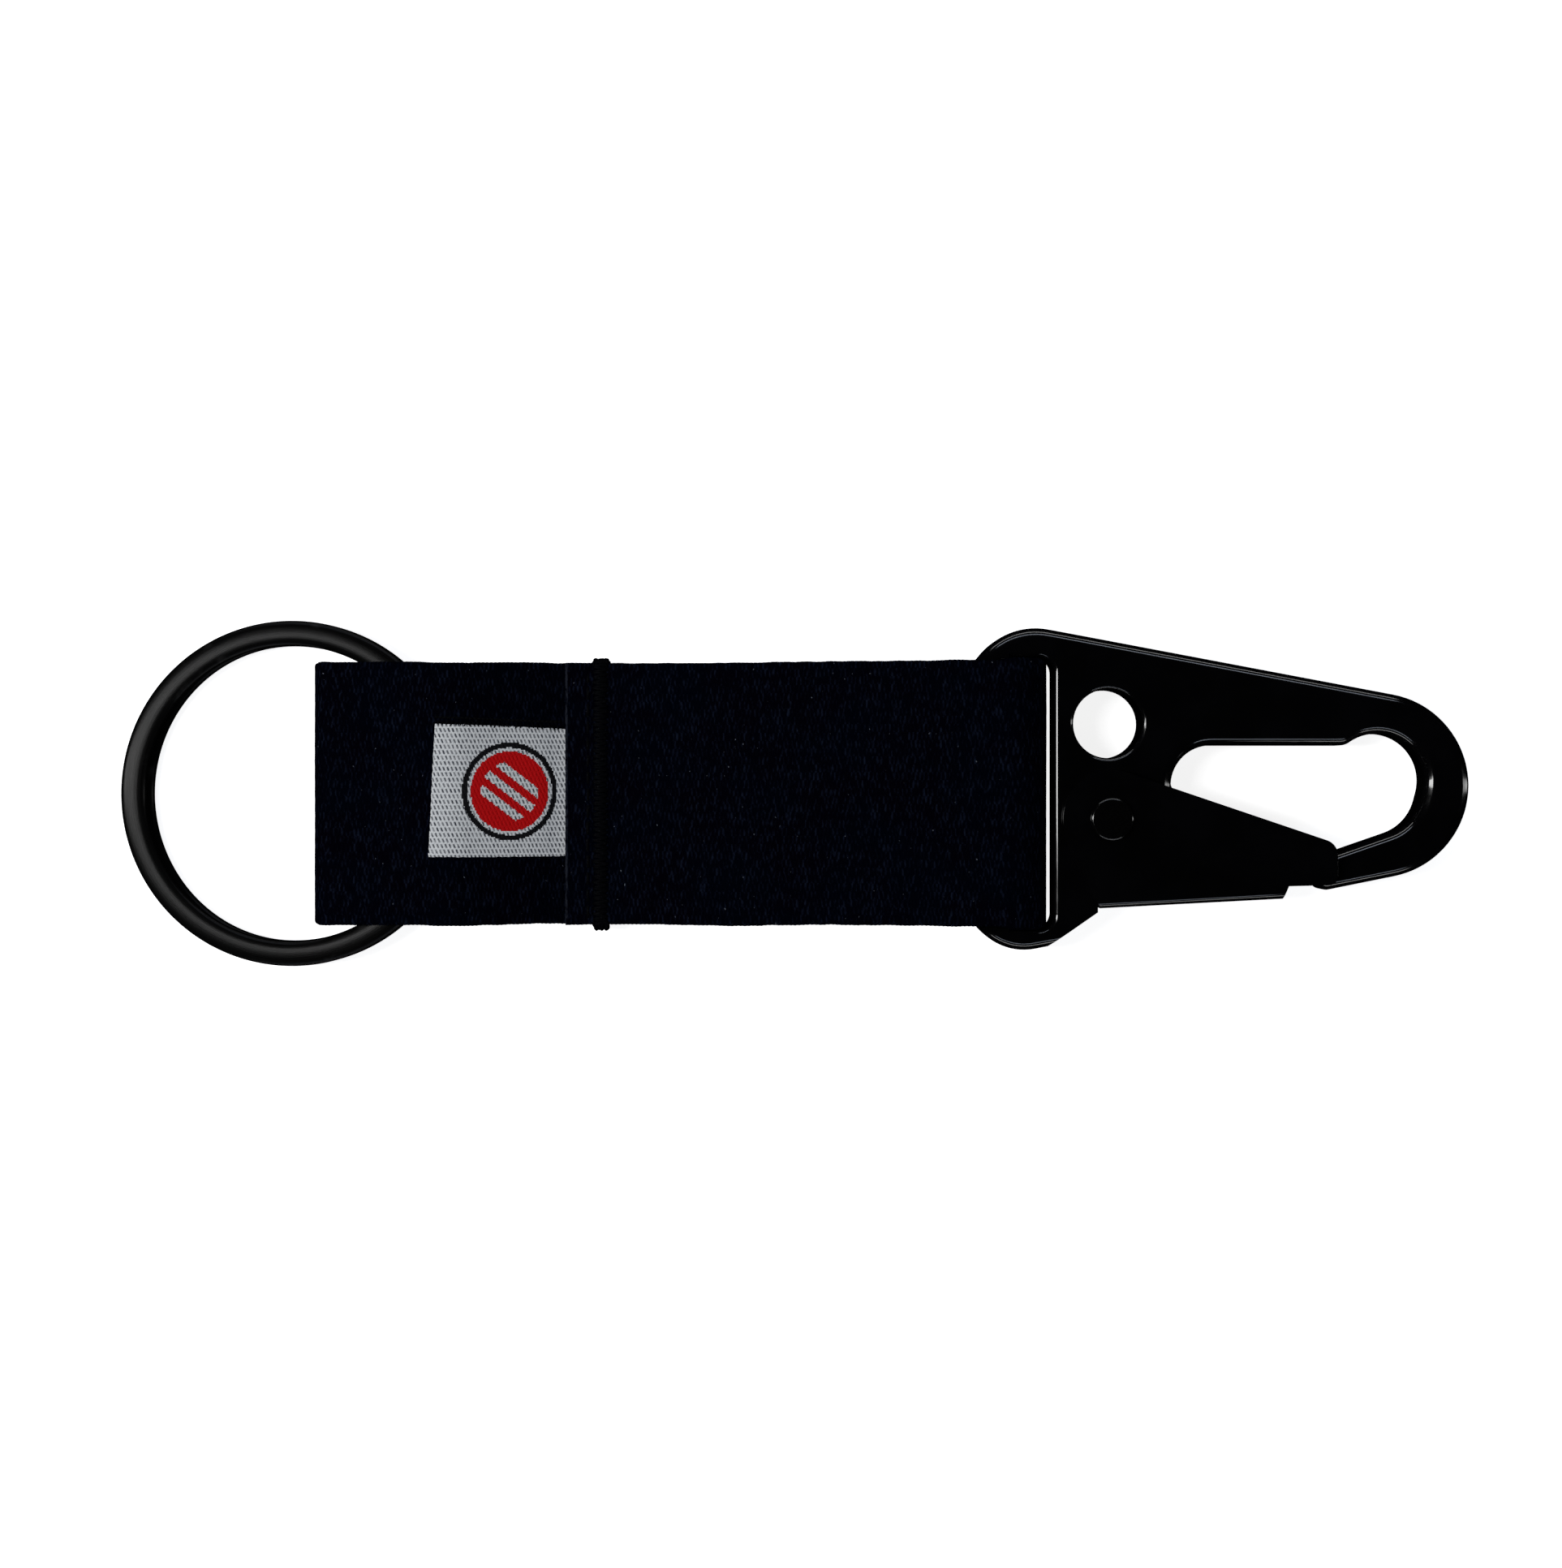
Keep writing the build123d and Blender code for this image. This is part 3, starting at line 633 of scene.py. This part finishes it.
# ---------------------------------------------------------------- seam
def make_bartack():
    """The dense zigzag of thread across the strap, with lumps where it wraps the edges."""
    rng = np.random.RandomState(SEED + 1)
    left, right = tack_low.x / MM + 0.5, tack_high.x / MM - 0.5
    top = strap_top_at_seam() + 0.09
    paths = []
    for level, drop in ((top, 0.22), (0.15, -0.03)):
        path = []
        crossings = int(2 * SEAM_REACH / SEAM_PITCH)
        for k in range(crossings + 1):
            y = -SEAM_REACH + k * SEAM_PITCH
            ends = (left, right) if k % 2 == 0 else (right, left)
            for share in (0.0, 0.12, 0.5, 0.88):
                x = ends[0] + (ends[1] - ends[0]) * share
                dip = drop if share == 0.0 else 0.0
                path.append(
                    (
                        x + rng.uniform(-0.07, 0.07),
                        y + SEAM_PITCH * share + rng.uniform(-0.03, 0.03),
                        level - dip + rng.uniform(-0.03, 0.03),
                    )
                )
        paths.append(path)
    for side, bulge in ((1, 0.12), (-1, 0.32)):
        count = 8
        for k in range(count):
            x = left + (right - left) * (k + 0.5) / count
            out = 12.62 + bulge * (0.75 + 0.25 * math.sin(k * 2.1))
            wobble = [rng.uniform(-0.12, 0.12) for _ in range(7)]
            route = (
                (11.9, top + 0.02),
                (12.4, top - 0.02),
                (out, top - 0.5),
                (out + 0.03, 2.6),
                (out, 1.3),
                (out - 0.1, 0.5),
                (12.2, 0.17),
            )
            paths.append([(x + w, side * y, z) for (y, z), w in zip(route, wobble)])
    paths.append(running_line(left - 0.55, top - 0.2, rng))
    points, faces = joined_tubes(paths, SEAM_THREAD_R)
    piece = mesh_piece("seam_threads", points, faces, "strap")
    piece.data.materials.append(thread_material("seam_thread", (0.0006, 0.0007, 0.0014, 1)))
    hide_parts("bartack_stitches")
    return piece


def running_line(x, z, rng):
    """A straight line of lockstitches across the strap, sunk into it between the stitches."""
    path = []
    stitch = 1.6
    count = int(24.2 / stitch)
    for k in range(count):
        y = -12.1 + k * stitch
        for share, rise in ((0.0, -0.2), (0.2, 0.02), (0.8, 0.02)):
            path.append((x + rng.uniform(-0.04, 0.04), y + stitch * share, z + rise))
    return path


def strap_top_at_seam():
    """Height of the strap's upper face where the seam runs."""
    return STRAP_ROUTE[0][1] + STRAP_THICK / 2


# ---------------------------------------------------------------- label
def label_upper_edge(share):
    """Where the label's upper edge lies across the strap, from its left to its right end."""
    return LABEL_Y[1] - LABEL_TOP_FALL * share


def make_label():
    """A thin woven rectangle that follows the strap's slope and ends under the overlap."""
    rng = np.random.RandomState(SEED + 2)
    walk, total = walk_route(LABEL_ROUTE, LABEL_BENDS, 0.12)
    rows, columns = len(walk), 104
    fray = soft_noise(rows, 2, rng) * 0.035
    left_fray = soft_noise(columns, 2, rng) * 0.04
    ripple = soft_field(rows, columns, 20, 26, rng) * 0.03
    points, cloth = [], []
    for i, (place, ahead) in enumerate(walk):
        share = i / (rows - 1)
        out = Vector((-ahead.y, ahead.x))
        for face in (1, -1):
            order = range(columns) if face > 0 else reversed(range(columns))
            for j in order:
                v = j / (columns - 1)
                low, high = LABEL_Y[0], label_upper_edge(share)
                y = low + (high - low) * v + fray[i] * (2 * v - 1)
                skew = LABEL_SKEW[0] + (LABEL_SKEW[1] - LABEL_SKEW[0]) * v + left_fray[j]
                slide = skew * (1 - share)
                near_edge = min(v, 1 - v) * (columns - 1) < 0.5 or i == 0
                half = LABEL_THICK / 2 * (0.55 if near_edge else 1)
                weave = 0.012 * math.cos(2 * math.pi * (i + 2 * j) / 4)
                z = face * (half + (weave if face > 0 else 0)) + ripple[i, j]
                x = place.x + ahead.x * slide + out.x * z
                points.append((x, y, place.y + ahead.y * slide + out.y * z))
                cloth.append((total * share + slide, y, float(face)))
    count = 2 * columns
    faces = tube_grid(rows, count)
    for start, flip in ((0, False), ((rows - 1) * count, True)):
        for k in range(columns - 1):
            face = (start + k, start + k + 1, start + count - 2 - k, start + count - 1 - k)
            faces.append(face[::-1] if flip else face)
    piece = mesh_piece("label_cloth", points, faces, "strap")
    set_attribute(piece, "cloth", cloth)
    piece.data.materials.append(label_material())
    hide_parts("woven_label")
    return piece


def make_label_stitches():
    """Dark thread that whips the label's upper edge to the strap."""
    rng = np.random.RandomState(SEED + 3)
    walk, _ = walk_route(LABEL_ROUTE, LABEL_BENDS, 0.42)
    paths = []
    half = LABEL_THICK / 2
    usable = walk[:-7]
    for k, (place, ahead) in enumerate(usable):
        inner, outer = rng.uniform(0.06, 0.2), rng.uniform(0.16, 0.5)
        lean = rng.uniform(-0.14, 0.14)
        if rng.uniform(0, 1) < 0.25:
            continue
        out = Vector((-ahead.y, ahead.x))
        edge = label_upper_edge(k / (len(walk) - 1))
        stitch = []
        for y, slide, lift in (
            (edge - inner, -lean, half + 0.05),
            (edge + 0.04, 0.0, half + 0.05),
            (edge + outer, lean, 0.01 - half),
        ):
            stitch.append(
                (
                    place.x + ahead.x * slide + out.x * lift,
                    y,
                    place.y + ahead.y * slide + out.y * lift,
                )
            )
        paths.append(stitch)
    run = []
    for k, (place, ahead) in enumerate(usable):
        out = Vector((-ahead.y, ahead.x))
        edge = label_upper_edge(k / (len(walk) - 1))
        for share, lift in ((0.0, -half - 0.12), (0.3, -half + 0.05), (0.7, -half + 0.05)):
            step = 0.42 * share
            run.append(
                (
                    place.x + ahead.x * step + out.x * lift,
                    edge + 0.62 + rng.uniform(-0.03, 0.03),
                    place.y + ahead.y * step + out.y * lift,
                )
            )
    paths.append(run)
    points, faces = joined_tubes(paths, 0.085, 6)
    piece = mesh_piece("label_threads", points, faces, "strap")
    piece.data.materials.append(thread_material("label_thread", (0.0016, 0.0018, 0.0026, 1)))
    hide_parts("label_stitches")
    return piece


# ---------------------------------------------------------------- split ring
def make_ring():
    """One wire in two turns: the lower turn, a climb of one wire's height, the upper turn."""
    hinge = joints["ring_spin"]
    centre = Vector(hinge["pos_m"]) / MM
    up = Vector(hinge["axis"]).normalized()
    right = Vector((0, 1, 0)).cross(up)
    half_w, half_h = WIRE_WIDTH / 2, WIRE_HEIGHT / 2
    section = []
    for k in range(WIRE_SIDES):
        angle = 2 * math.pi * k / WIRE_SIDES
        u = half_w * math.copysign(abs(math.cos(angle)) ** WIRE_SQUARENESS, math.cos(angle))
        v = half_h * math.copysign(abs(math.sin(angle)) ** WIRE_SQUARENESS, math.sin(angle))
        section.append((u, v, abs(math.sin(2 * angle))))
    rows = 686
    points, wire = [], []
    for i in range(rows):
        degree = RING_START + (RING_END - RING_START) * i / (rows - 1)
        share = min(1.0, max(0.0, (degree - RING_CLIMB[0]) / (RING_CLIMB[1] - RING_CLIMB[0])))
        climb = share * share * (3 - 2 * share)
        angle = math.radians(degree)
        outward = right * math.cos(angle) + Vector((0, 1, 0)) * math.sin(angle)
        shift = right * (LOWER_TURN_SHIFT * (1 - climb) * max(0.0, -math.cos(angle)))
        middle = centre + shift + outward * WIRE_R + up * (half_h + TURN_PITCH * climb)
        squeeze = 0.8 if i in (0, rows - 1) else 1.0
        for k, (u, v, corner) in enumerate(section):
            points.append(middle + outward * (u * squeeze) + up * (v * squeeze))
            wire.append((angle * WIRE_R, float(k), corner))
    count = len(section)
    faces = [face[::-1] for face in tube_grid(rows, count)]
    faces.append(tuple(range(count)))
    faces.append(tuple((rows - 1) * count + k for k in reversed(range(count))))
    piece = mesh_piece("split_ring_wire", points, faces, "ring")
    set_attribute(piece, "wire", wire)
    piece.data.materials.append(ring_material())
    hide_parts("split_ring")
    return piece


# ---------------------------------------------------------------- hook, gate, rivet, spring
def dress(node, material):
    """Gives a CAD node its material."""
    slots = nodes[node].material_slots
    if not slots:
        nodes[node].data.materials.append(material)
    for place in slots:
        place.material = material


def dress_hook():
    """The hook's four steel pieces keep their CAD shape, with gate and rivet edges eased."""
    dress("hook_frame", coated_steel("hook_coat", 0.0012, 0.11, 0.002, 0.25))
    dress("gate", coated_steel("gate_coat", 0.0011, 0.13, 0.002, 0.2))
    dress("gate_rivet", rivet_material())
    dress("gate_spring", spring_material())
    for node in ("gate", "gate_rivet"):
        weld = nodes[node].modifiers.new("join_points", "WELD")
        weld.merge_threshold = 0.002 * MM
        soft_edge = nodes[node].modifiers.new("soft_edge", "BEVEL")
        soft_edge.width = SOFT_EDGE * MM
        soft_edge.segments = 2
        soft_edge.limit_method = "ANGLE"
        soft_edge.angle_limit = math.radians(SOFT_EDGE_ANGLE)


# ---------------------------------------------------------------- stage
def make_floor():
    """A white board just under the fob."""
    size = FLOOR_REACH
    drop = -FLOOR_DROP * MM
    mesh = bpy.data.meshes.new("studio_board")
    corners = [(-size, -size, drop), (size, -size, drop), (size, size, drop), (-size, size, drop)]
    mesh.from_pydata(corners, [], [(0, 1, 2, 3)])
    board = bpy.data.objects.new("studio_board", mesh)
    board.visible_glossy = False
    board.visible_diffuse = False
    bpy.context.scene.collection.objects.link(board)
    mesh.materials.append(floor_material())


def soft_light(name, place, size, power, colour=(1, 1, 1)):
    """A rectangular light that faces the middle of the fob."""
    light = bpy.data.lights.new(name, "AREA")
    light.shape = "RECTANGLE"
    light.size, light.size_y = size
    light.energy = power
    light.color = colour
    lamp = bpy.data.objects.new(name, light)
    lamp.location = place
    lamp.rotation_mode = "QUATERNION"
    lamp.rotation_quaternion = Vector(place).to_track_quat("Z", "Y")
    bpy.context.scene.collection.objects.link(lamp)


def make_lights():
    """Soft boxes round the fob, weaker ones low down, and a pale room that only the camera sees."""
    soft_light("left_box", (-0.30, 0.02, 0.34), (0.07, 0.34), 1.3)
    cool = (0.78, 0.86, 1.0)
    soft_light("back_box", (0.02, 0.60, 0.44), (0.70, 0.08), 1.0, cool)
    soft_light("front_box", (0.06, -0.60, 0.40), (0.70, 0.05), 0.6, cool)
    soft_light("low_front", (0.03, -0.62, 0.10), (0.80, 0.06), 0.8)
    soft_light("low_back", (-0.03, 0.62, 0.10), (0.80, 0.06), 0.8)
    soft_light("low_right", (0.62, 0.0, 0.10), (0.06, 0.60), 0.6)
    world = bpy.data.worlds.new("studio")
    world.use_nodes = True
    background = world.node_tree.nodes["Background"]
    background.inputs["Color"].default_value = (0.93, 0.94, 0.95, 1)
    background.inputs["Strength"].default_value = 1.0
    world.cycles_visibility.diffuse = False
    world.cycles_visibility.glossy = False
    bpy.context.scene.world = world


def make_camera():
    """Straight down on the fob, with +Y up in the picture."""
    camera = bpy.data.cameras.new("camera")
    camera.lens = CAMERA_LENS
    camera.sensor_width = 36.0
    camera.clip_start = 0.01
    holder = bpy.data.objects.new("camera", camera)
    holder.location = CAMERA_PLACE
    bpy.context.scene.collection.objects.link(holder)
    bpy.context.scene.camera = holder


make_camera()
make_strap()
make_bartack()
make_label()
make_label_stitches()
make_ring()
dress_hook()
make_floor()
make_lights()
bpy.context.scene.view_settings.view_transform = "Standard"
